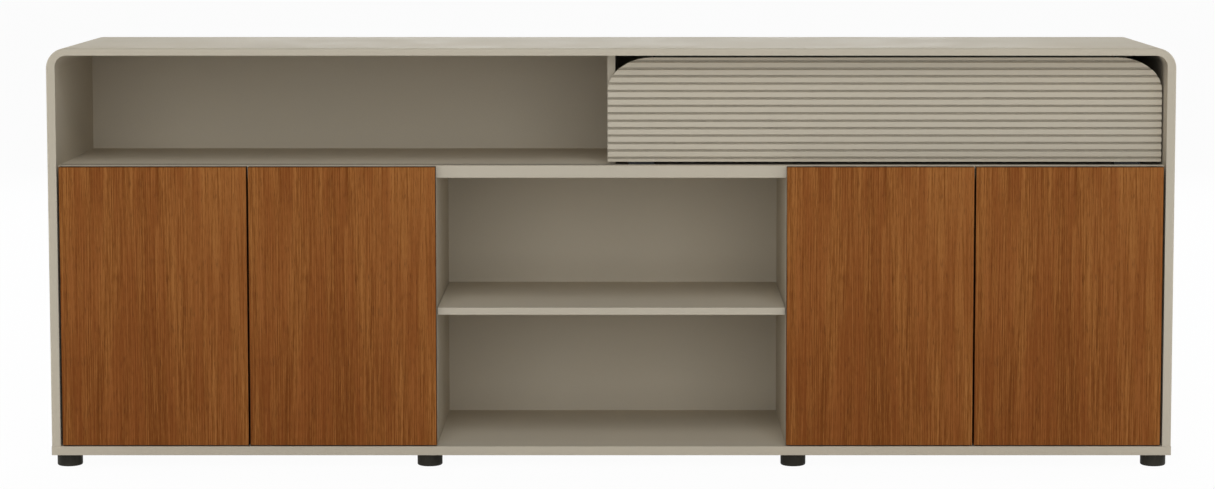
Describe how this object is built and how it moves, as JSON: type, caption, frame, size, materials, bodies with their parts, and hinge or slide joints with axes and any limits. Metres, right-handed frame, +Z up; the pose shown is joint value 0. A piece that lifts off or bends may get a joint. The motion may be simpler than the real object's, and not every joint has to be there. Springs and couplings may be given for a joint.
{
  "type": "credenza",
  "caption": "Long low office credenza with rounded shoulders, push-open veneered cupboard doors, open centre bay, open niche and a reeded sliding panel on short round feet.",
  "frame": {"origin": "on the floor, under the middle of the case", "axes": "+X along the length to the right as seen from the front, the front faces -Y, +Z up"},
  "size_m": [2, 0.4, 0.75],
  "materials": {
    "case_paint": "satin taupe paint on board",
    "door_veneer": "straight-grained warm brown veneer, satin lacquer",
    "foot_plastic": "black moulded plastic",
    "track_aluminium": "dark anodised",
    "runner_nylon": "natural nylon",
    "latch_plastic": "grey moulded plastic",
    "hinge_steel": "nickel plated"
  },
  "bodies": {
    "carcass": {"back_panel": "case_paint", "bottom_panel": "case_paint", "centre_shelf": "case_paint", "centre_shelf_pins": "hinge_steel", "feet": "foot_plastic", "hinge_arm_pins": "hinge_steel", "hinge_arms": "hinge_steel", "hinge_plates": "hinge_steel", "latch_housings": "latch_plastic", "left_corner_rail": "case_paint", "left_partition": "case_paint", "left_shelf": "case_paint", "left_shelf_pins": "hinge_steel", "left_side_panel": "case_paint", "long_shelf": "case_paint", "lower_track": "track_aluminium", "niche_divider": "case_paint", "right_corner_rail": "case_paint", "right_partition": "case_paint", "right_shelf": "case_paint", "right_shelf_pins": "hinge_steel", "right_side_panel": "case_paint", "top_panel": "case_paint", "upper_track": "track_aluminium"},
    "far_left_link": {"far_left_hinge_links": "hinge_steel"},
    "far_left_door": {"far_left_door": "door_veneer", "far_left_hinge_cups": "hinge_steel", "far_left_cup_pins": "hinge_steel"},
    "far_left_plunger": {"far_left_latch_plunger": "latch_plastic"},
    "mid_left_link": {"mid_left_hinge_links": "hinge_steel"},
    "mid_left_door": {"mid_left_door": "door_veneer", "mid_left_hinge_cups": "hinge_steel", "mid_left_cup_pins": "hinge_steel"},
    "mid_left_plunger": {"mid_left_latch_plunger": "latch_plastic"},
    "mid_right_link": {"mid_right_hinge_links": "hinge_steel"},
    "mid_right_door": {"mid_right_door": "door_veneer", "mid_right_hinge_cups": "hinge_steel", "mid_right_cup_pins": "hinge_steel"},
    "mid_right_plunger": {"mid_right_latch_plunger": "latch_plastic"},
    "far_right_link": {"far_right_hinge_links": "hinge_steel"},
    "far_right_door": {"far_right_door": "door_veneer", "far_right_hinge_cups": "hinge_steel", "far_right_cup_pins": "hinge_steel"},
    "far_right_plunger": {"far_right_latch_plunger": "latch_plastic"},
    "sliding_panel": {"fluted_panel": "case_paint", "panel_glides": "runner_nylon", "panel_guide_pins": "runner_nylon"}
  },
  "joints": [
    {"name": "far_left_link_turn", "type": "hinge", "parent": "carcass", "child": "far_left_link", "pos_m": [-0.938, -0.1775, 0.289], "axis": [0, 0, -1], "range_deg": [-44.7, 0]},
    {"name": "far_left_door_swing", "type": "hinge", "parent": "far_left_link", "child": "far_left_door", "pos_m": [-0.964, -0.1844, 0.289], "axis": [0, 0, -1], "range_deg": [0, 139.65]},
    {"name": "far_left_plunger_press", "type": "slide", "parent": "carcass", "child": "far_left_plunger", "axis": [0, 1, 0], "range_m": [0, 0.003], "stiffness_N_per_m": 200},
    {"name": "mid_left_link_turn", "type": "hinge", "parent": "carcass", "child": "mid_left_link", "pos_m": [-0.354, -0.1775, 0.289], "axis": [0, 0, 1], "range_deg": [-44.7, 0]},
    {"name": "mid_left_door_swing", "type": "hinge", "parent": "mid_left_link", "child": "mid_left_door", "pos_m": [-0.328, -0.1844, 0.289], "axis": [0, 0, 1], "range_deg": [0, 139.65]},
    {"name": "mid_left_plunger_press", "type": "slide", "parent": "carcass", "child": "mid_left_plunger", "axis": [0, 1, 0], "range_m": [0, 0.003], "stiffness_N_per_m": 200},
    {"name": "mid_right_link_turn", "type": "hinge", "parent": "carcass", "child": "mid_right_link", "pos_m": [0.354, -0.1775, 0.289], "axis": [0, 0, -1], "range_deg": [-44.7, 0]},
    {"name": "mid_right_door_swing", "type": "hinge", "parent": "mid_right_link", "child": "mid_right_door", "pos_m": [0.328, -0.1844, 0.289], "axis": [0, 0, -1], "range_deg": [0, 139.65]},
    {"name": "mid_right_plunger_press", "type": "slide", "parent": "carcass", "child": "mid_right_plunger", "axis": [0, 1, 0], "range_m": [0, 0.003], "stiffness_N_per_m": 200},
    {"name": "far_right_link_turn", "type": "hinge", "parent": "carcass", "child": "far_right_link", "pos_m": [0.938, -0.1775, 0.289], "axis": [0, 0, 1], "range_deg": [-44.7, 0]},
    {"name": "far_right_door_swing", "type": "hinge", "parent": "far_right_link", "child": "far_right_door", "pos_m": [0.964, -0.1844, 0.289], "axis": [0, 0, 1], "range_deg": [0, 139.65]},
    {"name": "far_right_plunger_press", "type": "slide", "parent": "carcass", "child": "far_right_plunger", "axis": [0, 1, 0], "range_m": [0, 0.003], "stiffness_N_per_m": 200},
    {"name": "panel_slide", "type": "slide", "parent": "carcass", "child": "sliding_panel", "axis": [-1, 0, 0], "range_m": [0, 0.9745]}
  ],
  "couplings": [
    {"joint": "far_left_link_turn", "follows": "far_left_door_swing", "ratio": -0.31973},
    {"joint": "mid_left_link_turn", "follows": "mid_left_door_swing", "ratio": -0.31973},
    {"joint": "mid_right_link_turn", "follows": "mid_right_door_swing", "ratio": -0.31973},
    {"joint": "far_right_link_turn", "follows": "far_right_door_swing", "ratio": -0.31973}
  ]
}
